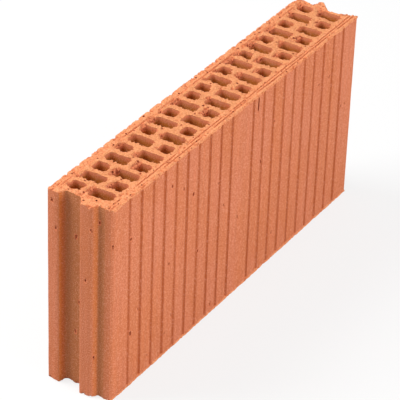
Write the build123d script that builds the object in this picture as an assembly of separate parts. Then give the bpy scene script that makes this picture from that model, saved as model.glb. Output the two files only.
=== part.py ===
"""Hollow clay partition block, one extruded and fired piece.

Millimetres, +Z up. The block stands on its bed: X runs along the wall, Y through
the wall's thickness from its front face to its back face, and Z up. The origin is
the middle of the bed. Such a block is pushed through a die and cut to height, so
its whole form is one section in plan, which is drawn once and extruded.
"""

import os

from build123d import *

# Block
body_length = 498.0
body_width = 80.0
body_height = 238.0

# Cells, in columns along the wall with a long and a short cell in each
half_columns = 11
cross_web = 6.3
middle_web = 8.0
long_cell = 28.5
short_cell = 17.0
cell_round = 4.0

# Plaster grooves on the front and back faces
groove_mouth = 4.6
groove_floor = 2.2
groove_depth = 1.8

# Tongue end: heights out of the end plane and depths into it
nose_foot = 1.2
nose_height = 2.5
slot_depth = 6.5
slot_rise = 1.5
tongue_height = 6.0
valley_depth = 1.0

# Tongue end: places across the wall from the back face, as shares of the width
nose_start_share = 0.125
nose_end_share = 0.19
slot_start_share = 0.23
slot_end_share = 0.475
tongue_start_share = 0.54
tongue_end_share = 0.725
valley_start_share = 0.77
valley_end_share = 0.81
land_start_share = 0.88

# Channel end: it takes the next block's tongue and nose, and its key goes in that block's slot
recess_depth = 5.0
key_height = 6.0
channel_depth = 8.5
channel_rise = 5.0

# Channel end: places across the wall from the back face, as shares of the width
recess_end_share = 0.29
key_start_share = 0.32
key_end_share = 0.40
channel_start_share = 0.58
channel_end_share = 0.82
rim_start_share = 0.88

# Clay between the deepest part of the joint and the last cells
joint_wall = 4.0

# Rounding of the joint and of the block's upright edges
joint_round = 2.5
inner_round = 2.0
slack_round = 4.0
tongue_round = 5.0
land_round = 6.0
corner_round = 2.0

# How far a cutter runs past the face it cuts
overrun = 1.0

# Worked out from the sizes above
joint_reach = max(channel_depth, slot_depth)
cell_field = body_length - 2 * (joint_reach + joint_wall)
cell_pitch = (cell_field + cross_web) / (2 * half_columns)
cell_length = cell_pitch - cross_web
shell = (body_width - long_cell - middle_web - short_cell) / 2


def tongue_end():
    """Corners of the tongue end: share of the width, height out of the end plane, radius."""
    return [
        (0, nose_foot, corner_round),
        (nose_start_share, nose_height, slack_round),
        (nose_end_share, nose_height, joint_round),
        (slot_start_share, -slot_depth, joint_round),
        (slot_end_share, slot_rise - slot_depth, joint_round),
        (tongue_start_share, tongue_height, joint_round),
        (tongue_end_share, tongue_height, tongue_round),
        (valley_start_share, -valley_depth, joint_round),
        (valley_end_share, -valley_depth, slack_round),
        (land_start_share, 0, slack_round),
        (1, 0, land_round),
    ]


def channel_end():
    """Corners of the channel end, in the same terms as the tongue end's."""
    return [
        (0, 0, corner_round),
        (recess_end_share, -recess_depth, inner_round),
        (key_start_share, key_height, joint_round),
        (key_end_share, key_height, joint_round),
        (channel_start_share, -channel_depth, joint_round),
        (channel_end_share, channel_rise - channel_depth, joint_round),
        (rim_start_share, 0, joint_round),
        (1, 0, corner_round),
    ]


def outline():
    """Outer outline: round the tongue end, along the front, round the channel end and back."""
    corners = []
    radii = []
    for side, end in ((-1, tongue_end()), (1, channel_end()[::-1])):
        for share, height, radius in end:
            x = side * (body_length / 2 + height)
            y = body_width / 2 - share * body_width
            corners.append((x, y))
            radii.append(radius)
    return make_face(FilletPolyline(*corners, radius=radii, close=True))


def cells():
    """Long and short cells, changing sides from each column to the next."""
    long_shape = RectangleRounded(cell_length, long_cell, cell_round)
    short_shape = RectangleRounded(cell_length, short_cell, cell_round)
    long_y = body_width / 2 - shell - long_cell / 2
    short_y = body_width / 2 - shell - short_cell / 2
    holes = []
    for column in range(half_columns):
        long_side = -1 if column % 2 == 0 else 1
        for end in (-1, 1):
            x = end * (column + 1 / 2) * cell_pitch
            holes.append(Pos(x, long_side * long_y) * long_shape)
            holes.append(Pos(x, -long_side * short_y) * short_shape)
    return holes


def grooves():
    """Plaster grooves on both faces, one in line with each cross web but the middle one."""
    corners = [
        (-groove_floor / 2, -groove_depth),
        (groove_floor / 2, -groove_depth),
        (groove_mouth / 2, 0),
        (groove_mouth / 2, overrun),
        (-groove_mouth / 2, overrun),
        (-groove_mouth / 2, 0),
    ]
    cutter = make_face(Polyline(*corners, close=True))
    cuts = []
    for web in range(1, half_columns):
        for end in (-1, 1):
            x = end * web * cell_pitch
            cuts.append(Pos(x, body_width / 2) * cutter)
            cuts.append(Pos(x, -body_width / 2) * Rot(0, 0, 180) * cutter)
    return cuts


def clay_block():
    """The section with its cells and grooves, extruded to the block's height."""
    section = outline() - cells() - grooves()
    return extrude(section, body_height)


os.makedirs("parts", exist_ok=True)
export_step(clay_block(), "parts/clay_block.step")
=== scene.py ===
import random
from bisect import bisect_left
from collections import namedtuple
from math import cos
from math import exp
from math import hypot
from math import radians
from math import sin

import bmesh
import bpy
from mathutils import Matrix
from mathutils import Vector
from mathutils import kdtree
from mathutils import noise
from mathutils.bvhtree import BVHTree


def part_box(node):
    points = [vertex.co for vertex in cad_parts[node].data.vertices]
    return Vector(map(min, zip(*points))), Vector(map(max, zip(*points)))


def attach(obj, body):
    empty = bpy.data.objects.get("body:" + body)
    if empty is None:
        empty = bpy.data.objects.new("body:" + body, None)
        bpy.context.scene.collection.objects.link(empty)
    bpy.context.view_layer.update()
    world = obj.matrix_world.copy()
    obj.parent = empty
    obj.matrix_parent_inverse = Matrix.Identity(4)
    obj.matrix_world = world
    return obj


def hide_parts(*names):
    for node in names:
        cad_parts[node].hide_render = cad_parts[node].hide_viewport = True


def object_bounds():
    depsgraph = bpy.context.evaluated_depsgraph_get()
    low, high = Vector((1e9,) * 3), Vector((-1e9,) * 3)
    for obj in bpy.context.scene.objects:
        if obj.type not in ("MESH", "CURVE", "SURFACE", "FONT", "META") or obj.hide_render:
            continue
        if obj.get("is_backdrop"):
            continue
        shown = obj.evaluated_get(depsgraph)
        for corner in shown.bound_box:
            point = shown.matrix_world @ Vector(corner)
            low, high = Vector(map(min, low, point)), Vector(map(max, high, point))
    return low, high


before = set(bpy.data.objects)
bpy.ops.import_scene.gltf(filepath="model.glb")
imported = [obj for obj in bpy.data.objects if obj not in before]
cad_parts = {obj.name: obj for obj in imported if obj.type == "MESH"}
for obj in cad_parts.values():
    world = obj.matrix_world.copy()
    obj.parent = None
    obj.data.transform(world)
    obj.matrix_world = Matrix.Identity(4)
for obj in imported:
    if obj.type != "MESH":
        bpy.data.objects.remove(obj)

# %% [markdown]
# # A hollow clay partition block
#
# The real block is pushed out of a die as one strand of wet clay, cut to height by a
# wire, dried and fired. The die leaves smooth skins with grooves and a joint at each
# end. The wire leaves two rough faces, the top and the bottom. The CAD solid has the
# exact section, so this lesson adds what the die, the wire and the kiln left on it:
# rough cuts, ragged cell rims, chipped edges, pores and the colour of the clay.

MM = 0.001
cad_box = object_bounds()
low, high = (Vector(corner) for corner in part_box("clay_block"))
print("block, mm:", [round(size / MM, 1) for size in high - low])

# %% [markdown]
# ## Camera
#
# The photograph is a long-lens view of the tongue end and the front face, from above.
# A long lens could also be faked by scaling, but then the cells would lose their
# depth. Here the place and the turn of the camera come from the block's corners.

# %% Camera
SENSOR_MM = 36
LENS_MM = 212.7
CAMERA_PLACE = (-1.8788, -1.1223, 1.5145)
CAMERA_TURN = (57.19, -1.78, -57.75)

camera = bpy.data.objects.new("camera", bpy.data.cameras.new("camera"))
bpy.context.collection.objects.link(camera)
camera.data.sensor_width = SENSOR_MM
camera.data.lens = LENS_MM
camera.location = CAMERA_PLACE
camera.rotation_euler = [radians(turn) for turn in CAMERA_TURN]
bpy.context.scene.camera = camera
print("camera at", CAMERA_PLACE)

# %% [markdown]
# ## The section
#
# Every level slice of the block is the same section, with its 44 cells. The top face
# of the CAD mesh is that section, so a merged copy of it is the start. Its triangles
# are long and thin, and such faces can't take a rough surface. Planes cut it into
# small squares, and then the old triangle edges that lie on no plane are dissolved.
# The front shell gets narrower squares, because the wire drew fine lines along it.

# %% Cutting planes
ALONG, THROUGH = 0, 1
GRID = 1.5 * MM
FINE_GRID = 0.75 * MM
FINE_WIDTH = 13.5 * MM
HAIR = 0.03 * MM


def steps(start, stop, size):
    """Even places from start to stop, about one size apart, without the two ends."""
    count = round((stop - start) / size)
    return [start + (stop - start) * n / count for n in range(1, count)]


def cut_across(bm, axis, places):
    """Cut the whole mesh by planes that stand across one axis."""
    across = Vector([float(n == axis) for n in range(3)])
    for place in places:
        whole = bm.verts[:] + bm.edges[:] + bm.faces[:]
        bmesh.ops.bisect_plane(bm, geom=whole, dist=HAIR, plane_co=across * place, plane_no=across)


def on_a_cut(edge, axis, places):
    """True if both ends of an edge lie on the same one of the planes."""
    first, second = (vert.co[axis] for vert in edge.verts)
    near = bisect_left(places, first - HAIR)
    on_plane = near < len(places) and abs(places[near] - first) < HAIR
    return on_plane and abs(first - second) < HAIR


fine_end = low.y + FINE_WIDTH
x_cuts = steps(low.x, high.x, GRID)
y_cuts = steps(low.y, fine_end, FINE_GRID) + [fine_end] + steps(fine_end, high.y, GRID)
print("cutting planes:", len(x_cuts), "along the block and", len(y_cuts), "through it")

# %% The section in small squares
SAME_POINT = 0.001 * MM
SLIVER = 0.3 * MM
LEVEL_FACE = 0.9

bm = bmesh.new()
bm.from_mesh(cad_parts["clay_block"].data)
bmesh.ops.remove_doubles(bm, verts=bm.verts, dist=SAME_POINT)
not_top = [face for face in bm.faces if face.normal.z < LEVEL_FACE]
bmesh.ops.delete(bm, geom=not_top, context="FACES")
cut_across(bm, ALONG, x_cuts)
cut_across(bm, THROUGH, y_cuts)
inside = [edge for edge in bm.edges if len(edge.link_faces) == 2]
off_x_cuts = [edge for edge in inside if not on_a_cut(edge, ALONG, x_cuts)]
old = [edge for edge in off_x_cuts if not on_a_cut(edge, THROUGH, y_cuts)]
bmesh.ops.dissolve_edges(bm, edges=old, use_verts=True)
bmesh.ops.remove_doubles(bm, verts=bm.verts, dist=SLIVER)
print("section:", len(bm.faces), "faces")

# %% [markdown]
# ## The walls
#
# The section has 45 closed edges: the outline and one for each cell. Extruding the
# faces would give walls in one piece from top to bottom. Extruding only the edges, a
# row at a time, lets the rows lie close together near the wire cuts, where the clay is
# chipped, and far apart where the die left it smooth. Each point keeps a mark that
# says whether it is on the cut face, on the outer skin or in a cell.

# %% Rims and rows
CUT_FACE, SKIN, CELL = range(3)
SKIN_EDGE_ROWS = [row * MM for row in (0.8, 1.7, 2.8, 4.2, 6.0, 8.5)]
CELL_EDGE_ROWS = [row * MM for row in (1.0, 2.2, 4.0, 8.0)]
SKIN_ROW = 8 * MM
CELL_ROW = 55 * MM


def rims(bm):
    """Closed runs of edges round the section, the outline first."""
    left = {edge for edge in bm.edges if edge.is_boundary}
    found = []
    while left:
        front = [left.pop()]
        run = []
        while front:
            edge = front.pop()
            run.append(edge)
            near = {other for vert in edge.verts for other in vert.link_edges} & left
            left -= near
            front += near
        found.append(run)
    return sorted(found, key=len, reverse=True)


def rows(edge_rows, size):
    """Depths of the rows: close at both ends, wide apart between."""
    height = high.z - low.z
    last = edge_rows[-1]
    far_rows = [height - row for row in reversed(edge_rows)]
    return edge_rows + steps(last, height - last, size) + far_rows + [height]


def mark_points(edges, kind):
    """Mark the points of some edges as one kind."""
    for edge in edges:
        for vert in edge.verts:
            vert[mark] = kind


mark = bm.verts.layers.int.new("mark")
outline, *cell_rims = rims(bm)
cell_edges = [edge for rim in cell_rims for edge in rim]
mark_points(outline, SKIN)
mark_points(cell_edges, CELL)
skin_rows = rows(SKIN_EDGE_ROWS, SKIN_ROW)
cell_rows = rows(CELL_EDGE_ROWS, CELL_ROW)
print("cells:", len(cell_rims))
print("rows:", len(skin_rows), "on the skin and", len(cell_rows), "in each cell")

# %% Walls in rows, and the bottom
LITRE = 0.001


def drop_wall(bm, run, depths):
    """Extrude closed runs of edges downwards, row by row."""
    reached = 0
    for depth in depths:
        made = bmesh.ops.extrude_edge_only(bm, edges=run)["geom"]
        verts = {item for item in made if isinstance(item, bmesh.types.BMVert)}
        edges = [item for item in made if isinstance(item, bmesh.types.BMEdge)]
        run = [edge for edge in edges if set(edge.verts) <= verts]
        bmesh.ops.translate(bm, verts=list(verts), vec=(0, 0, reached - depth))
        reached = depth


def put_in_order(bm):
    """Sort points and faces by their places, so that each run meets them in the same order."""
    by_place = sorted(bm.verts, key=lambda vert: vert.co[:])
    rank = {vert: number for number, vert in enumerate(by_place)}
    bm.verts.sort(key=rank.get)
    bm.verts.index_update()
    by_points = sorted(bm.faces, key=lambda face: sorted(vert.index for vert in face.verts))
    rank = {face: number for number, face in enumerate(by_points)}
    bm.faces.sort(key=rank.get)


top = bm.verts[:] + bm.edges[:] + bm.faces[:]
bottom = bmesh.ops.duplicate(bm, geom=top)["geom"]
bottom_verts = [item for item in bottom if isinstance(item, bmesh.types.BMVert)]
bmesh.ops.translate(bm, verts=bottom_verts, vec=(0, 0, low.z - high.z))
drop_wall(bm, outline, skin_rows)
drop_wall(bm, cell_edges, cell_rows)
bmesh.ops.remove_doubles(bm, verts=bm.verts, dist=HAIR)
bmesh.ops.recalc_face_normals(bm, faces=bm.faces)
put_in_order(bm)
closed = all(len(edge.link_faces) == 2 for edge in bm.edges)
print("closed:", closed, "litres:", round(bm.calc_volume() / LITRE, 3))
print("triangles:", sum(len(face.verts) - 2 for face in bm.faces))

# %% [markdown]
# ## Where each point lies
#
# The wear depends on where a point is: how far below the cut, how far from the outline
# and how far from the next cell. The walls are upright, so the distances are measured
# in plan. A tree of the rim points finds the nearest one quickly, and each rim point
# knows which way is out of the clay. Level rays tell how open a wall lies: on a flat
# face all of them get clear, and in a slot or a groove only some do.

# %% Rim points and how open they lie
LOOK_RAYS = 24
LOOK_START = 0.2 * MM
LOOK_REACH = 60 * MM
WALL_FACE = 0.5
mid_height = (low.z + high.z) / 2


def in_plan(place):
    """A place moved straight down to height zero."""
    return Vector((place.x, place.y, 0))


def out_of_clay(vert):
    """Level direction out of the clay at a point on a wall."""
    total = Vector()
    for face in vert.link_faces:
        if abs(face.normal.z) < WALL_FACE:
            total += face.normal
    return in_plan(total).normalized()


def open_share(place, way):
    """Share of the level rays from a wall that get clear of the block."""
    start = Vector((place.x, place.y, mid_height)) + way * LOOK_START
    total = clear = 0
    for number in range(LOOK_RAYS):
        turn = radians(180 * (number + 0.5) / LOOK_RAYS - 90)
        hit = clay_tree.ray_cast(start, Matrix.Rotation(turn, 3, "Z") @ way, LOOK_REACH)
        total += cos(turn)
        clear += cos(turn) * (hit[0] is None)
    return clear / total


def rim_tree(kind):
    """Tree of the top rim points of one kind, their ways out of the clay and how open they lie."""
    points = [vert for vert in bm.verts if vert[mark] == kind and vert.co.z > high.z - HAIR]
    tree = kdtree.KDTree(len(points))
    for number, vert in enumerate(points):
        tree.insert(in_plan(vert.co), number)
    tree.balance()
    ways = [out_of_clay(vert) for vert in points]
    opens = [0] * len(points)
    if kind == SKIN:
        opens = [open_share(vert.co, way) for vert, way in zip(points, ways)]
    return tree, ways, opens


clay_tree = BVHTree.FromBMesh(bm)
trees = {kind: rim_tree(kind) for kind in (SKIN, CELL)}
print("rim points:", {kind: len(ways) for kind, (_, ways, _) in trees.items()})
print("most hidden place on the skin:", round(min(trees[SKIN][2]), 2))

# %% Distances in plan
Spot = namedtuple("Spot", "place cut_place inward below to_skin skin_way hidden to_cell cell_way")


def nearest(kind, place):
    """Distance in plan to the nearest rim of a kind, its way out of the clay and its openness."""
    tree, ways, opens = trees[kind]
    _, number, distance = tree.find(in_plan(place))
    return distance, ways[number], opens[number]


def spot_at(place):
    """What the wear needs to know of a place on the block."""
    on_top = place.z > mid_height
    end = high.z if on_top else low.z
    inward = -1 if on_top else 1
    cut_place = Vector((place.x, place.y, end))
    to_skin, skin_way, openness = nearest(SKIN, place)
    to_cell, cell_way, _ = nearest(CELL, place)
    return Spot(place, cut_place, inward, abs(end - place.z),
                to_skin, skin_way, 1 - openness, to_cell, cell_way)


middle_web = spot_at(Vector((0, 0, high.z)))
print("middle web to the nearest cell, mm:", round(middle_web.to_cell / MM, 2))

# %% [markdown]
# ## The wire cut
#
# A wire pulled through wet clay doesn't slice it cleanly. It leaves low lumps, long
# drag lines beside the front edge and hollows where it tore bits out of the cells'
# back rims. A Displace modifier could shake the whole face, but it can't tell a rim
# from a shell. These functions give each place on the cut its own depth, and only ever
# go down, so the block keeps its height.

# %% Lumps and tears
Lumps = namedtuple("Lumps", "size seed")
NOISE_SHIFT = (0.3, 0.7)
TEARS = Lumps(15 * MM, 31)
TEAR_REACH = 5.5 * MM
TEAR_PATCH = (0.5, 0.6)
FAR_SIDE = (0.2, 0.9)


def share(value, start, stop):
    """Smooth share from 0 at start to 1 at stop."""
    part = min(max((value - start) / (stop - start), 0), 1)
    return part * part * (3 - 2 * part)


def lumpy(place, lumps):
    """Soft noise from 0 to 1 at a place, with lumps of about one size."""
    return 0.5 + 0.5 * noise.noise(place / lumps.size + Vector((lumps.seed, *NOISE_SHIFT)))


def tear(spot):
    """How far a bit was torn out of a cell's far rim at a spot, from 0 to 1."""
    far_side = share(-spot.cell_way.y, *FAR_SIDE)
    patch = share(lumpy(spot.cut_place, TEARS), *TEAR_PATCH)
    return patch * far_side * share(spot.to_cell, TEAR_REACH, 0)


print("tear at the middle web:", round(tear(middle_web), 2))

# %% Lines that the wire drew
FRONT_LINES = [4.6 * MM, 8.0 * MM]
BACK_LINE = 8.6 * MM
LINE_WIDTH, LINE_DEPTH = 0.65 * MM, 1.0 * MM
RIDGE_WIDTH, RIDGE_HEIGHT = 2.0 * MM, 0.8 * MM
LINE_WANDER = 2.2 * MM
LONG_BEND, SHORT_BEND = 90 * MM, 9 * MM
SHORT_BEND_SHARE = 0.3
LINE_RUN, RUN_SEED = 45 * MM, 5
RUN_EDGE = (0.3, 0.46)


def drawn_line(place, start, seed):
    """How strong one long line is at a place, and how far off its middle the place lies."""
    along = Vector((place.x, 0, place.z))
    bend = lumpy(along, Lumps(LONG_BEND, seed)) - 0.5
    bend += SHORT_BEND_SHARE * (lumpy(along, Lumps(SHORT_BEND, seed)) - 0.5)
    strength = share(lumpy(along, Lumps(LINE_RUN, seed + RUN_SEED)), *RUN_EDGE)
    return strength, place.y - start - LINE_WANDER * bend


def drawn_lines(place):
    """Depth of the wire's long lines at a place, and height of the ridges that they pushed up."""
    starts = [low.y + line for line in FRONT_LINES] + [high.y - BACK_LINE]
    groove = ridge = 0
    for seed, start in enumerate(starts):
        strength, off = drawn_line(place, start, seed)
        groove = max(groove, strength * exp(-(off / LINE_WIDTH) ** 2))
        ridge = max(ridge, strength * exp(-(off / RIDGE_WIDTH) ** 2))
    return LINE_DEPTH * groove, RIDGE_HEIGHT * ridge


front_line = Vector((0, low.y + FRONT_LINES[0], high.z))
print("first line at mid-length, mm:", round(drawn_lines(front_line)[0] / MM, 2))

# %% Depth of the wire cut
CUT_LEVEL = 0.4 * MM
LOW_LUMPS, LUMP_DEPTH = Lumps(9 * MM, 0), 1.6 * MM
CRUMBS, CRUMB_DEPTH = Lumps(3 * MM, 7), 2.6 * MM
WEB_CRUMB_SHARE = 0.55
DRAG_LENGTH, DRAG_SIZE, DRAG_DEPTH = 140 * MM, 1.8 * MM, 1.1 * MM
ON_SHELL = (2 * MM, 6 * MM)
TEAR_CRUMBS, TEAR_DEPTH = Lumps(3 * MM, 3), 4.2 * MM


def drag(place):
    """Height of the fine lines that the wire drew along the block, from 0 to 1."""
    line = Vector((place.x / DRAG_LENGTH, place.y / DRAG_SIZE, place.z))
    return 0.5 + 0.5 * noise.noise(line)


def relief(spot):
    """How far the crumbs, lines and tears at a spot lie below the plane of the wire."""
    place = spot.cut_place
    on_shell = share(spot.to_cell, *ON_SHELL)
    crumb_depth = CRUMB_DEPTH * (WEB_CRUMB_SHARE + (1 - WEB_CRUMB_SHARE) * on_shell)
    rough = CUT_LEVEL + LUMP_DEPTH * (lumpy(place, LOW_LUMPS) - 0.5)
    rough += crumb_depth * (lumpy(place, CRUMBS) - 0.5)
    rough += DRAG_DEPTH * on_shell * (drag(place) - 0.5)
    torn = TEAR_DEPTH * tear(spot) * lumpy(place, TEAR_CRUMBS)
    line, ridge = drawn_lines(place)
    return max(0, rough - ridge) + line + torn


print("relief at the middle web, mm:", round(relief(middle_web) / MM, 2))

# %% [markdown]
# ## Rims, lips and chipped edges
#
# Clay that the wire drags over a rim stays there as small teeth that lean into the
# cell. Where the wire leaves the block, at the front, it smears a ragged lip over the
# tops of the grooves. The other edges only lose crumbs. A bevel would give every edge
# the same neat width, so here each edge point gets a width of its own, and the points
# within that width move onto a slope.

# %% Teeth on the rims
TEETH, WIDE_TEETH = Lumps(2.4 * MM, 5), Lumps(7.2 * MM, 6)
WIDE_TEETH_SHARE = 0.4
TOOTH_EDGE = (0.42, 0.66)
TOOTH_REST = 0.2
TOOTH_REACH, TOOTH_LEAN = 3.0 * MM, 2.8 * MM


def tooth(spot):
    """How far a rim leans into its cell at a spot. The near rims lean most."""
    near_side = max(spot.cell_way.x, spot.cell_way.y, 0)
    ragged = (1 - WIDE_TEETH_SHARE) * lumpy(spot.cut_place, TEETH)
    ragged += WIDE_TEETH_SHARE * lumpy(spot.cut_place, WIDE_TEETH)
    return TOOTH_LEAN * near_side * (share(ragged, *TOOTH_EDGE) - TOOTH_REST)


print("lean at the middle web, mm:", round(tooth(middle_web) / MM, 2))

# %% Chips, slopes and the front lip
Uneven = namedtuple("Uneven", "least parts")
FRONT_SLOPE = Uneven(0.2 * MM, [(0.8 * MM, Lumps(13 * MM, 2)), (0.6 * MM, Lumps(4 * MM, 5))])
PLAIN_SLOPE = Uneven(0.1 * MM, [(0.6 * MM, Lumps(9 * MM, 2)), (0.4 * MM, Lumps(3 * MM, 5))])
FRONT_LIP = Uneven(0.81 * MM, [(2.16 * MM, Lumps(14 * MM, 17)), (1.35 * MM, Lumps(3.5 * MM, 19))])
TO_FRONT = -0.5
END_ROUND = 20 * MM
OFF_FRONT = (3 * MM, 6 * MM)
CHIPS, CHIP_WIDTH = Lumps(6 * MM, 23), 2.6 * MM
CHIP_EDGE = (0.58, 0.68)


def uneven(place, width):
    """A width that changes from place to place: its least, and what lumps of each size add."""
    return width.least + sum(most * lumpy(place, lumps) for most, lumps in width.parts)


def chip(spot):
    """How much of the outline's edge is broken off at a spot, from 0 to 1."""
    on_end = share(abs(spot.place.x), high.x - END_ROUND, high.x - END_ROUND / 2)
    off_front = share(spot.place.y - low.y, *OFF_FRONT)
    return on_end * off_front * share(lumpy(spot.cut_place, CHIPS), *CHIP_EDGE)


def slope_width(spot):
    """Width of the worn slope along the outline."""
    if spot.skin_way.y < TO_FRONT:
        return uneven(spot.cut_place, FRONT_SLOPE)
    return uneven(spot.cut_place, PLAIN_SLOPE) + CHIP_WIDTH * chip(spot)


def lip_depth(spot):
    """How far down the smeared lip reaches over the front face."""
    return uneven(Vector((spot.place.x, 0, spot.cut_place.z)), FRONT_LIP)


print("lip at mid-length, mm:", round(lip_depth(middle_web) / MM, 2))

# %% [markdown]
# ## Wear on every point
#
# Each point moves by its own amounts, and keeps marks for the material: how much it is
# raw cut clay or torn, whether it lies in a plaster groove or in a hollow of the end joint,
# which get painted shade, or on a steep flank there that faces the front, which gets
# painted light, how far down a cell it is, for painted light near the rim and painted
# shade deeper down, how far it is sunk below the clay next to it, for a painted highlight
# on high clay and painted shade on low clay, and whether it is on a web between the cells.

# %% The skin's waves and hollows
WAVES, WAVE_DEPTH = Lumps(28 * MM, 11), 0.35 * MM
STREAK_SIZE, STREAK_LENGTH, STREAK_DEPTH = 2.5 * MM, 60 * MM, 0.12 * MM
RIB_FACE = 0.5 * MM
RIB_TURN = (0.05, 0.3)
GROOVE_HIDDEN = (0.02, 0.2)
HOLLOW_HIDDEN = (0, 0.12)
FLANK_HIDDEN = (0.05, 0.35)
FLANK_TURN = (0.3, 0.75)
FLANK_DEPTH = (13 * MM, 5 * MM)


def skin_wave(place):
    """How far the skin lies inside the flat face: low waves and fine upright streaks."""
    streak = Vector((place.x / STREAK_SIZE, place.y / STREAK_SIZE, place.z / STREAK_LENGTH))
    streaks = 0.5 + 0.5 * noise.noise(streak)
    return WAVE_DEPTH * lumpy(place, WAVES) + STREAK_DEPTH * streaks


def in_end_joint(place):
    """True for a place on the joint at either end of the block."""
    return abs(place.x) > high.x - END_ROUND


def rib_edge(spot):
    """1 at the edge between a flat rib and a groove, and 0 away from it."""
    inset = high.y - abs(spot.place.y)
    if inset > RIB_FACE or in_end_joint(spot.place):
        return 0
    return share(1 - abs(spot.skin_way.y), *RIB_TURN)


def skin_marks(spot, edge):
    """Marks for painted light and shade in the die's hollows: shade in the grooves of the faces,
    shade in the hollows and light on the front-facing flanks of the end joints.
    """
    if not in_end_joint(spot.place):
        return {"groove": max(share(spot.hidden, *GROOVE_HIDDEN), edge)}
    depth = high.x - abs(spot.place.x)
    # Painted light: steep flanks in the joint that face the front are coloured a brighter orange.
    lit = share(-spot.skin_way.y, *FLANK_TURN) * share(depth, *FLANK_DEPTH)
    # Painted shade in the joint's hidden hollows, left off the lit flanks.
    hollow = share(spot.hidden, *HOLLOW_HIDDEN) * (1 - lit)
    return {"hollow": hollow, "flank": lit * share(spot.hidden, *FLANK_HIDDEN)}


print("skin at the middle of the block, mm:", round(skin_wave((low + high) / 2) / MM, 2))

# %% Wear of each kind of surface
RIM_CUT = (1.6 * MM, 0.2 * MM)
RIM_INNER = 0.1
INNER_DEPTH = (1 * MM, 10 * MM)
FACE_TEETH = 0.6
GROOVED_DEPTH = 2.6 * MM
RIB_EDGE_DROP = 0.3 * MM
LIP_FULL = 0.5
LIP_BULGE = 0.5 * MM
LIP_CRUMBS, LIP_CRUMB_DEPTH = Lumps(3 * MM, 13), 0.6 * MM
CUT_PAST, CUT_SHORT = 0.8 * MM, 0.4 * MM


def worn_cell(spot):
    """A point on a cell's wall: its rim leans in, and its mark paints light near the rim and shade
    deeper down the wall.
    """
    shift = spot.cell_way * tooth(spot) * share(spot.below, TOOTH_REACH, 0)
    inner = RIM_INNER + (1 - RIM_INNER) * share(spot.below, *INNER_DEPTH)
    return shift, {"cut": share(spot.below, *RIM_CUT), "inner": inner}


def worn_skin(spot):
    """A point on the outer skin: it waves a little, and at the front the lip covers it."""
    edge = rib_edge(spot)
    shift = -spot.skin_way * (skin_wave(spot.place) + RIB_EDGE_DROP * edge)
    reach = slope_width(spot)
    inset = spot.place.y - low.y
    if inset < GROOVED_DEPTH:
        reach = lip_depth(spot)
        smeared = share(spot.below, reach, reach * LIP_FULL)
        shift.y += LIP_BULGE * (1 - smeared)
        shift.y -= smeared * (inset + shift.y)
        shift.y += smeared * LIP_CRUMB_DEPTH * lumpy(spot.place, LIP_CRUMBS)
    cut = share(spot.below, reach + CUT_PAST, reach - CUT_SHORT)
    return shift, {"cut": cut, **skin_marks(spot, edge)}


def worn_cut(spot):
    """A point on a cut face: near a rim it follows the rim's teeth."""
    shift = spot.cell_way * tooth(spot) * FACE_TEETH * share(spot.to_cell, TOOTH_REACH, 0)
    return shift, {"cut": 1.0}


wear_for = {CUT_FACE: worn_cut, SKIN: worn_skin, CELL: worn_cell}
print("kinds of surface:", len(wear_for))

# %% Move the points
MARKS = ("cut", "torn", "groove", "hollow", "flank", "inner", "sunk", "web")
CUT_LEAST = 0.1 * MM
RIM_ROUND, RIM_DROP = 1.0 * MM, 0.25 * MM
SETTLE = 12 * MM
SUNK_DEPTH = (0.1 * MM, 1.9 * MM)
LINE_SUNK = 0.75
TORN_MOST, TORN_DEPTH = 0.6, (6 * MM, 2 * MM)
CHIP_MOST, CHIP_SLOPE = 0.7, (0.3 * MM, 1.5 * MM)
WEB_START = (9 * MM, 13 * MM)


def worn(vert):
    """The worn place of a point, and its marks."""
    spot = spot_at(vert.co.copy())
    kind = vert[mark]
    shift, state = wear_for[kind](spot)
    sunk = relief(spot)
    depth = CUT_LEAST + sunk + RIM_DROP * share(spot.to_cell, RIM_ROUND, 0)
    shift.z += spot.inward * depth * max(0, 1 - spot.below / SETTLE)
    line, _ = drawn_lines(spot.cut_place)
    # How sunk a point is: the material paints a highlight on high cut clay and shade on sunk clay
    # and in the wire's lines.
    level = max(share(sunk, *SUNK_DEPTH), LINE_SUNK * line / LINE_DEPTH)
    torn = TORN_MOST * tear(spot) * share(spot.below, *TORN_DEPTH)
    if kind != CELL:
        over = max(0, slope_width(spot) - spot.below - spot.to_skin)
        shift -= spot.skin_way * over / 2
        shift.z += spot.inward * over / 2
        torn = max(torn, CHIP_MOST * chip(spot) * share(over, *CHIP_SLOPE))
    state.update(torn=torn, sunk=level, web=share(spot.to_skin, *WEB_START))
    return spot.place + shift, state


marks = {name: bm.verts.layers.float.new(name) for name in MARKS}
bm.normal_update()
wear = [worn(vert) for vert in bm.verts]
for vert, (place, state) in zip(bm.verts, wear):
    vert.co = place
    for name, amount in state.items():
        vert[marks[name]] = amount
heights = [vert.co.z / MM for vert in bm.verts]
print("lowest and highest, mm:", round(min(heights), 2), round(max(heights), 2))

# %% [markdown]
# ## Pores and a crack
#
# Bits of straw and grit in the clay burn out or fall out and leave small dark holes.
# Each hole starts as a patch of faces. A first inset is drawn into the hole's outline,
# which lies on the skin, and a second one is pushed into the clay, so that the hole
# keeps a crisp edge. The one long upright crack below the front lip is made the same
# way, from two columns of faces. The larger pores stand where the photograph shows
# them, and seeded dice place the rest.

# %% Faces of the skin
CLEAR_OF_CUTS = 9 * MM
LEAST_SIDE = 1.1 * MM
UPRIGHT_RISE = 2 * MM


def is_skin(face):
    """True for a plain four-sided face of the outer skin."""
    return len(face.verts) == 4 and all(vert[mark] == SKIN for vert in face.verts)


def on_plain_skin(face):
    """True for a wide enough face of the outer skin that lies well below the cuts."""
    if not is_skin(face):
        return False
    middle = face.calc_center_median().z
    wide = min(edge.calc_length() for edge in face.edges) > LEAST_SIDE
    return wide and low.z + CLEAR_OF_CUTS < middle < high.z - CLEAR_OF_CUTS


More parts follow.
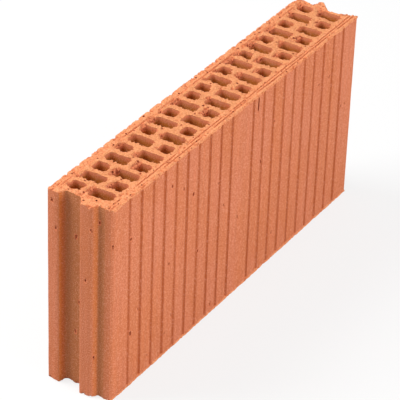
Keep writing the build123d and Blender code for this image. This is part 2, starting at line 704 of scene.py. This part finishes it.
def rise(edge):
    """Difference in height between the two ends of an edge."""
    first, second = edge.verts
    return abs(first.co.z - second.co.z)


def beside(face):
    """The skin faces left and right of one in the same row, with the face itself."""
    upright = [edge for edge in face.edges if rise(edge) > UPRIGHT_RISE]
    return list({near for edge in upright for near in edge.link_faces} | {face})


plain_skin = [face for face in bm.faces if on_plain_skin(face)]
print("plain skin:", len(plain_skin), "faces")

# %% The crack and the pores that the photograph shows
CRACK_X, CRACK_TOP, CRACK_LENGTH = 31.0 * MM, 2.5 * MM, 18 * MM
FRONT_INSET = 1 * MM
FRONT_FACE = -0.9
FRONT_PORES = [(-139.4, 208.2), (-44.8, 163.8), (-97.3, 176.3), (-213.4, 65.8)]
END_PORES = [(33.3, 224.4), (29.7, 192.0), (9.5, 185.0), (-16.7, 213.2), (-37.0, 194.9),
             (-9.9, 146.1), (4.8, 105.4), (-19.2, 55.6)]


def in_crack(face):
    """True for a skin face in one of the two columns of the crack."""
    middle = face.calc_center_median()
    near = abs(middle.x - CRACK_X) < GRID and middle.y < low.y + FRONT_INSET
    return near and is_skin(face) and 0 < high.z - CRACK_TOP - middle.z < CRACK_LENGTH


def closest(faces, axes, place):
    """The face whose middle lies nearest to a place, given in millimetres on two axes."""
    wanted = Vector(place) * MM
    return min(faces, key=lambda face: (getattr(face.calc_center_median(), axes) - wanted).length)


def seen_pores(faces):
    """The faces of the front and of the tongue end where the photograph shows a large pore."""
    front = [face for face in faces if face.normal.y < FRONT_FACE]
    end = [face for face in faces if face.calc_center_median().x < low.x + END_ROUND]
    on_front = [closest(front, "xz", place) for place in FRONT_PORES]
    return on_front + [closest(end, "yz", place) for place in END_PORES]


crack = [face for face in bm.faces if in_crack(face)]
large = seen_pores([face for face in plain_skin if len(beside(face)) == 3])
print("crack:", len(crack), "faces, large pores:", len(large))

# %% Places for the other pores
dice = random.Random(4)


def clear_skin(count, taken):
    """Skin faces for pores that share no point with each other or with the points taken."""
    faces = list(plain_skin)
    dice.shuffle(faces)
    found = []
    for face in faces:
        ring = {vert for near in beside(face) for vert in near.verts}
        clear = not ring & taken and all(is_skin(near) for near in beside(face))
        if len(found) < count and clear:
            found.append(face)
            taken |= ring
    return found


def clear_patches(count):
    """Small patches of faces on the cuts that lie clear of the rims and of each other."""
    points = [vert for vert in bm.verts if vert[mark] == CUT_FACE]
    dice.shuffle(points)
    taken = set()
    patches = []
    for vert in points:
        ring = {near for face in vert.link_faces for near in face.verts}
        clear = not ring & taken and all(near[mark] == CUT_FACE for near in ring)
        if len(patches) < count and clear:
            patches.append(vert.link_faces[:])
            taken |= {far for near in ring for face in near.link_faces for far in face.verts}
    return patches


used = {vert for face in crack for vert in face.verts}
for face in large:
    used |= {vert for near in beside(face) for vert in near.verts}
print("points kept clear for the crack and the large pores:", len(used))

# %% How a hole is cut
Hole = namedtuple("Hole", "faces wide tall tilt depth")
INSET = 0.3 * MM
WALL_INSET = 0.08 * MM
STEEP_FACE = 0.7


def room_share(hole, half_wide, half_tall):
    """Share of its size that a tilted hole can have in a patch of this half width and height."""
    lean, stand = sin(hole.tilt), cos(hole.tilt)
    across = hypot(hole.wide / 2 * stand, hole.tall / 2 * lean)
    upward = hypot(hole.wide / 2 * lean, hole.tall / 2 * stand)
    return min(1, half_wide / across, half_tall / upward)


def facing(hole):
    """Mean direction that the faces of a hole look in."""
    return sum((face.normal for face in hole.faces), Vector()).normalized()


def draw_outline(hole):
    """Move the points of a hole's patch into a tilted ellipse, and give them the torn mark, which
    paints the hole with dark red shade.
    """
    verts = {vert for face in hole.faces for vert in face.verts}
    way = facing(hole)
    up = Vector((0, 0, 1)) if abs(way.z) < STEEP_FACE else Vector((0, 1, 0))
    across = up.cross(way).normalized()
    up = way.cross(across)
    centre = sum((vert.co for vert in verts), Vector()) / len(verts)
    for axis in (across, up):
        reaches = [(vert.co - centre).dot(axis) for vert in verts]
        centre += axis * (min(reaches) + max(reaches)) / 2
    half_wide = max(abs((vert.co - centre).dot(across)) for vert in verts)
    half_tall = max(abs((vert.co - centre).dot(up)) for vert in verts)
    fit = room_share(hole, half_wide, half_tall)
    for vert in verts:
        away = vert.co - centre
        flat = Vector((away.dot(across) / half_wide, away.dot(up) / half_tall))
        flat = flat.normalized() * max(abs(flat.x), abs(flat.y)) * fit
        flat = Vector((flat.x * hole.wide / 2, flat.y * hole.tall / 2))
        flat.rotate(Matrix.Rotation(hole.tilt, 2))
        vert.co = centre + across * flat.x + up * flat.y
        vert.co.z = min(max(vert.co.z, low.z + HAIR), high.z - HAIR)
        vert[marks["torn"]] = 1


def push_in(hole):
    """Push the floor of a hole into the clay."""
    way = facing(hole)
    for vert in {vert for face in hole.faces for vert in face.verts}:
        vert.co -= way * hole.depth


def make_holes(holes):
    """Cut all the holes: inset their patches, draw the outlines, inset again and push in."""
    faces = [face for hole in holes for face in hole.faces]
    bmesh.ops.inset_region(bm, faces=faces, thickness=INSET, use_even_offset=True)
    for hole in holes:
        draw_outline(hole)
    bm.normal_update()
    bmesh.ops.inset_region(bm, faces=faces, thickness=WALL_INSET, use_even_offset=True)
    for hole in holes:
        push_in(hole)


print("wall of a hole, mm:", WALL_INSET / MM)

# %% Pores and a crack
Pore = namedtuple("Pore", "stretch tilt depth")
SKIN_PORE = Pore((0.9, 1.9), (-0.3, 0.3), (1.0, 1.8))
CUT_PORE = Pore((0.6, 1.2), (-1, 1), (0.8, 2.0))
SKIN_PORES, SKIN_SIZE = 50, (0.6, 1.5)
CUT_PORES, CUT_SIZE = 200, (1.2, 2.6)
FRONT_SIZE, END_SIZE = (2.4, 3.2), (1.5, 2.2)
TO_END = -0.5
CRACK_WIDTH, CRACK_DEPTH = 2.4 * MM, 3 * MM
CRACK_TILT = radians(1)
CRACK_SHARE = 0.9


def pore_hole(faces, size, pore):
    """A hole of one size in millimetres, with its height, tilt and depth drawn by the dice."""
    tall = size * dice.uniform(*pore.stretch)
    tilt = dice.uniform(*pore.tilt)
    depth = dice.uniform(*pore.depth)
    return Hole(faces, size * MM, tall * MM, tilt, depth * MM)


crack_heights = [vert.co.z for face in crack for vert in face.verts]
crack_tall = CRACK_SHARE * (max(crack_heights) - min(crack_heights))
holes = [Hole(crack, CRACK_WIDTH, crack_tall, CRACK_TILT, CRACK_DEPTH)]
for number, face in enumerate(large + clear_skin(SKIN_PORES, used)):
    size = dice.uniform(*SKIN_SIZE)
    if number < len(large):
        size = dice.uniform(*(END_SIZE if face.normal.x < TO_END else FRONT_SIZE))
    holes.append(pore_hole(beside(face), size, SKIN_PORE))
for patch in clear_patches(CUT_PORES):
    size = dice.uniform(*CUT_SIZE)
    holes.append(pore_hole(patch, size, CUT_PORE))
make_holes(holes)
print("holes:", len(holes))

# %% [markdown]
# ## The finished mesh
#
# Clay is smooth where the die pressed it and broken where the wire tore it. All faces
# are shaded smooth, and an edge stays sharp where its two faces meet at a real corner.
# The mesh replaces the CAD solid in the picture, and rides on its body.

# %% The block's object
SHARP = radians(20)

for face in bm.faces:
    face.smooth = True
for edge in bm.edges:
    edge.smooth = edge.calc_face_angle(0) < SHARP
mesh = bpy.data.meshes.new("fired_block")
bm.to_mesh(mesh)
bm.free()
block = bpy.data.objects.new("fired_block", mesh)
bpy.context.collection.objects.link(block)
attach(block, "root")
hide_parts("clay_block")
mesh.calc_loop_triangles()
print("block:", len(mesh.loop_triangles), "triangles")

# %% [markdown]
# ## Fired clay
#
# The clay burns to a pinkish orange that drifts from patch to patch. The skins carry a
# film of fine sand, the cuts show the brighter orange inside, and torn hollows are a deep
# red brown. Pores and the crack get the same deep red brown as painted shade. One
# material mixes these by the marks on the mesh, and some marks paint light and shade
# into the colour. Noise in Object coordinates gives the drift, the grain and the specks,
# so the pattern keeps its true size on every side.

# %% Node helpers


def add(tree, kind, inputs=None, **settings):
    """Add a node, set its own settings, and set or link its inputs."""
    made = tree.nodes.new(kind)
    for name, value in settings.items():
        setattr(made, name, value)
    for name, value in (inputs or {}).items():
        if isinstance(value, bpy.types.NodeSocket):
            tree.links.new(value, made.inputs[name])
        else:
            made.inputs[name].default_value = value
    return made


def colour_mix(tree, amount, first, second, how="MIX"):
    """Mix two colours and give the mixed colour."""
    inputs = {0: amount, 6: first, 7: second}
    return add(tree, "ShaderNodeMix", inputs, data_type="RGBA", blend_type=how).outputs[2]


def to_range(tree, value, between, result=(0, 1)):
    """Map a value between two limits to a result between two others, and keep it there."""
    inputs = {0: value, 1: between[0], 2: between[1], 3: result[0], 4: result[1]}
    return add(tree, "ShaderNodeMapRange", inputs).outputs[0]


def clouds(tree, vector, scale, detail):
    """Noise from 0 to 1."""
    inputs = {"Vector": vector, "Scale": scale, "Detail": detail}
    return add(tree, "ShaderNodeTexNoise", inputs).outputs["Fac"]


def stretched(tree, vector, scale):
    """A vector scaled by its own amount on each axis."""
    return add(tree, "ShaderNodeMapping", {"Vector": vector, "Scale": scale}).outputs[0]


clay = bpy.data.materials.new("fired_clay")
clay.use_nodes = True
tree = clay.node_tree
print("material:", clay.name)

# %% The skin's colours
ROUGHNESS = 0.95
SHINE = 0.15
PINK_SKIN = (0.685, 0.214, 0.107, 1)
ORANGE_SKIN = (0.66, 0.196, 0.080, 1)
GROOVE_SHADE_BROWN = (0.50, 0.126, 0.042, 1)
HOLLOW_SHADE_BROWN = (0.52, 0.186, 0.070, 1)
FLANK_LIGHT_ORANGE = (0.73, 0.218, 0.048, 1)
LIT_CELL_PINK = (0.88, 0.300, 0.148, 1)
CELL_SHADE_BROWN = (0.55, 0.174, 0.006, 1)
DRIFT_STRETCH, DRIFT_SCALE, DRIFT_DETAIL = (1, 1, 0.35), 24, 4
DRIFT_EDGE = (0.38, 0.62)
STREAK_STRETCH, STREAK_SCALE, STREAK_DETAIL = (1, 1, 0.05), 260, 2
STREAK_EDGE, STREAK_LEVEL = (0.3, 0.7), (0.95, 1.05)

shader = tree.nodes["Principled BSDF"]
shader.inputs["Roughness"].default_value = ROUGHNESS
shader.inputs["Specular IOR Level"].default_value = SHINE
coords = add(tree, "ShaderNodeTexCoord").outputs["Object"]
amounts = {}
for name in MARKS:
    amounts[name] = add(tree, "ShaderNodeAttribute", attribute_name=name).outputs["Fac"]

drift = clouds(tree, stretched(tree, coords, DRIFT_STRETCH), DRIFT_SCALE, DRIFT_DETAIL)
skin = colour_mix(tree, to_range(tree, drift, DRIFT_EDGE), PINK_SKIN, ORANGE_SKIN)
streak = clouds(tree, stretched(tree, coords, STREAK_STRETCH), STREAK_SCALE, STREAK_DETAIL)
skin = colour_mix(tree, 1.0, skin, to_range(tree, streak, STREAK_EDGE, STREAK_LEVEL), "MULTIPLY")
# Painted shade: hidden groove floors, and the rib edges beside them, are coloured a darker brown.
skin = colour_mix(tree, amounts["groove"], skin, GROOVE_SHADE_BROWN)
# Painted shade in the hollows of the end joints.
skin = colour_mix(tree, amounts["hollow"], skin, HOLLOW_SHADE_BROWN)
# Painted light on the joint's flanks that face the front.
skin = colour_mix(tree, amounts["flank"], skin, FLANK_LIGHT_ORANGE)
# Painted light at the top of each cell's wall, and painted shade that deepens further down.
skin = colour_mix(tree, to_range(tree, amounts["inner"], (0, RIM_INNER)), skin, LIT_CELL_PINK)
skin = colour_mix(tree, to_range(tree, amounts["inner"], (RIM_INNER, 1)), skin, CELL_SHADE_BROWN)
print("skin:", len(tree.nodes), "nodes")

# %% The cut's colours
CUT_PALE_AND_HIGHLIGHT = (0.93, 0.368, 0.160, 1)
WEB_SAND = (0.85, 0.336, 0.138, 1)
CUT_ORANGE = (0.83, 0.252, 0.098, 1)
CUT_RED_AND_SHADE = (0.56, 0.118, 0.040, 1)
SUNK_ORANGE, SUNK_RED = (0, 0.3), (0.3, 0.9)
PATCH_SCALE, PATCH_DETAIL = 160, 3
PATCH_EDGE, PATCH_MOST = (0.58, 0.74), (0, 0.7)
CRUMB_SCALE, CRUMB_DETAIL = 420, 4
RED_CRUMBS, PALE_CRUMBS, CRUMB_MOST = (0.56, 0.72), (0.44, 0.28), (0, 0.6)
CUT_EDGE = (0.4, 0.6)

# Painted highlight and shade on the cuts: high clay is painted pale, and sunk clay and the wire's
# lines are painted orange, then red. The random patches and crumbs of red and pale are the clay's
# own colour.
pale_and_highlight = colour_mix(tree, amounts["web"], CUT_PALE_AND_HIGHLIGHT, WEB_SAND)
sunk_shade_clay = colour_mix(tree, amounts["web"], CUT_ORANGE, WEB_SAND)
raw = colour_mix(tree, to_range(tree, amounts["sunk"], SUNK_ORANGE), pale_and_highlight, sunk_shade_clay)
raw = colour_mix(tree, to_range(tree, amounts["sunk"], SUNK_RED), raw, CUT_RED_AND_SHADE)
patches = clouds(tree, coords, PATCH_SCALE, PATCH_DETAIL)
raw = colour_mix(tree, to_range(tree, patches, PATCH_EDGE, PATCH_MOST), raw, CUT_RED_AND_SHADE)
crumbs = clouds(tree, coords, CRUMB_SCALE, CRUMB_DETAIL)
raw = colour_mix(tree, to_range(tree, crumbs, RED_CRUMBS, CRUMB_MOST), raw, CUT_RED_AND_SHADE)
raw = colour_mix(tree, to_range(tree, crumbs, PALE_CRUMBS, CRUMB_MOST), raw, pale_and_highlight)
cut = to_range(tree, amounts["cut"], CUT_EDGE)
base = colour_mix(tree, cut, skin, raw)
print("skin and cut:", len(tree.nodes), "nodes")

# %% Grain, torn clay and bump
SAND = (0.86, 0.420, 0.280, 1)
SHADE_GRAIN = (0.48, 0.120, 0.050, 1)
TORN_PINK = (0.76, 0.240, 0.110, 1)
PIT_RED_AND_HOLE_SHADE = (0.32, 0.060, 0.024, 1)
GRAIN_SCALE, GRAIN_DETAIL = 750, 3
PALE_GRAIN, DARK_GRAIN, GRAIN_MOST = (0.5, 0.75), (0.5, 0.25), (0, 0.6)
PIT_SCALE, PIT_DETAIL = 330, 2
PIT_EDGE = (0.52, 0.62)
TORN_EDGE, HOLE_EDGE = (0.1, 0.45), (0.65, 0.95)
CRUMB_BUMP = -1.8 * MM
GRAIN_BUMP, GRAIN_STRENGTH = 0.3 * MM, 0.6

grain = clouds(tree, coords, GRAIN_SCALE, GRAIN_DETAIL)
grained = colour_mix(tree, to_range(tree, grain, PALE_GRAIN, GRAIN_MOST), base, SAND)
grained = colour_mix(tree, to_range(tree, grain, DARK_GRAIN, GRAIN_MOST), grained, SHADE_GRAIN)
pits = to_range(tree, clouds(tree, coords, PIT_SCALE, PIT_DETAIL), PIT_EDGE)
pitted = colour_mix(tree, pits, TORN_PINK, PIT_RED_AND_HOLE_SHADE)
ragged = colour_mix(tree, to_range(tree, amounts["torn"], TORN_EDGE), grained, pitted)
# Painted shade: pores and the crack, marked fully torn, are painted a dark red brown.
final = colour_mix(tree, to_range(tree, amounts["torn"], HOLE_EDGE), ragged, PIT_RED_AND_HOLE_SHADE)
tree.links.new(final, shader.inputs["Base Color"])

bump_inputs = {"Height": crumbs, "Distance": CRUMB_BUMP, "Strength": cut}
rough = add(tree, "ShaderNodeBump", bump_inputs).outputs[0]
bump_inputs = {"Height": grain, "Distance": GRAIN_BUMP, "Strength": GRAIN_STRENGTH, "Normal": rough}
rough = add(tree, "ShaderNodeBump", bump_inputs).outputs[0]
tree.links.new(rough, shader.inputs["Normal"])
mesh.materials.append(clay)
print("clay material:", len(tree.nodes), "nodes")

# %% [markdown]
# ## Floor, world and lamps
#
# The block stands on a plain white floor in soft light. The key comes from above and
# from the back left, so the slot and the valley of the joint lie in soft shade, and a
# low fill lights the front face. To the camera the floor and the sky are almost white
# by themselves, which keeps the background clean and leaves a faint shadow.

# %% Floor
FLOOR_SIZE = 12

ground = bmesh.new()
bmesh.ops.create_grid(ground, x_segments=1, y_segments=1, size=FLOOR_SIZE / 2)
bmesh.ops.translate(ground, verts=ground.verts, vec=(0, 0, low.z))
floor_mesh = bpy.data.meshes.new("floor")
ground.to_mesh(floor_mesh)
ground.free()
floor = bpy.data.objects.new("floor", floor_mesh)
bpy.context.collection.objects.link(floor)
floor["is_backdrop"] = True
print("floor:", FLOOR_SIZE, "m")

# %% Floor material
WHITE = (1, 1, 1, 1)
FLOOR_COLOUR = (0.55, 0.55, 0.55, 1)
SEEN_COLOUR = (0.9, 0.9, 0.9, 1)
FLOOR_GLOW = 0.8


def seen_ray(tree):
    """1 for rays that show the background itself: from the camera, in gloss or through glass."""
    rays = add(tree, "ShaderNodeLightPath").outputs
    seen = rays["Is Camera Ray"]
    for name in ("Is Glossy Ray", "Is Transmission Ray"):
        seen = add(tree, "ShaderNodeMath", {0: seen, 1: rays[name]}, operation="MAXIMUM").outputs[0]
    return seen


white = bpy.data.materials.new("white_floor")
white.use_nodes = True
tree = white.node_tree
plain = tree.nodes["Principled BSDF"]
plain.inputs["Roughness"].default_value = 1
seen = seen_ray(tree)
tree.links.new(colour_mix(tree, seen, FLOOR_COLOUR, SEEN_COLOUR), plain.inputs["Base Color"])
glow = add(tree, "ShaderNodeEmission", {"Color": WHITE, "Strength": 1}).outputs[0]
amount = to_range(tree, seen, (0, 1), (0, FLOOR_GLOW))
mixed = add(tree, "ShaderNodeMixShader", {0: amount, 1: plain.outputs[0], 2: glow}).outputs[0]
tree.links.new(mixed, tree.nodes["Material Output"].inputs["Surface"])
floor_mesh.materials.append(white)
print("floor material:", len(tree.nodes), "nodes")

# %% World and lamps
SKY_LEVEL = 0.42
KEY_PLACE, KEY_SIZE, KEY_WATTS = (-0.8, 1.6, 2.05), 1.6, 71
FILL_PLACE, FILL_SIZE, FILL_WATTS = (-0.15, -2.6, 0.6), 1.6, 48


def soft_lamp(name, place, size, watts):
    """A square lamp that faces the middle of the block."""
    lamp = bpy.data.objects.new(name, bpy.data.lights.new(name, "AREA"))
    lamp.data.size = size
    lamp.data.energy = watts
    lamp.location = place
    middle = (low + high) / 2
    lamp.rotation_euler = (Vector(place) - middle).to_track_quat("Z", "Y").to_euler()
    bpy.context.collection.objects.link(lamp)


world = bpy.data.worlds.new("sky")
bpy.context.scene.world = world
world.use_nodes = True
tree = world.node_tree
sky = tree.nodes["Background"].inputs
sky["Color"].default_value = WHITE
tree.links.new(to_range(tree, seen_ray(tree), (0, 1), (SKY_LEVEL, 1)), sky["Strength"])
soft_lamp("key", KEY_PLACE, KEY_SIZE, KEY_WATTS)
soft_lamp("fill", FILL_PLACE, FILL_SIZE, FILL_WATTS)
bpy.context.scene.view_settings.view_transform = "Standard"
print("lamps: key", KEY_WATTS, "W, fill", FILL_WATTS, "W")

# %% [markdown]
# ## Size
#
# The wear only takes clay away, so the finished block has to lie inside the CAD box.
# Both boxes are printed side by side.

# %% Print the two boxes
boxes = {"cad": cad_box, "visual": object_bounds()}
for name, box in boxes.items():
    print(name, "box, mm:", [[round(value / MM, 2) for value in corner] for corner in box])
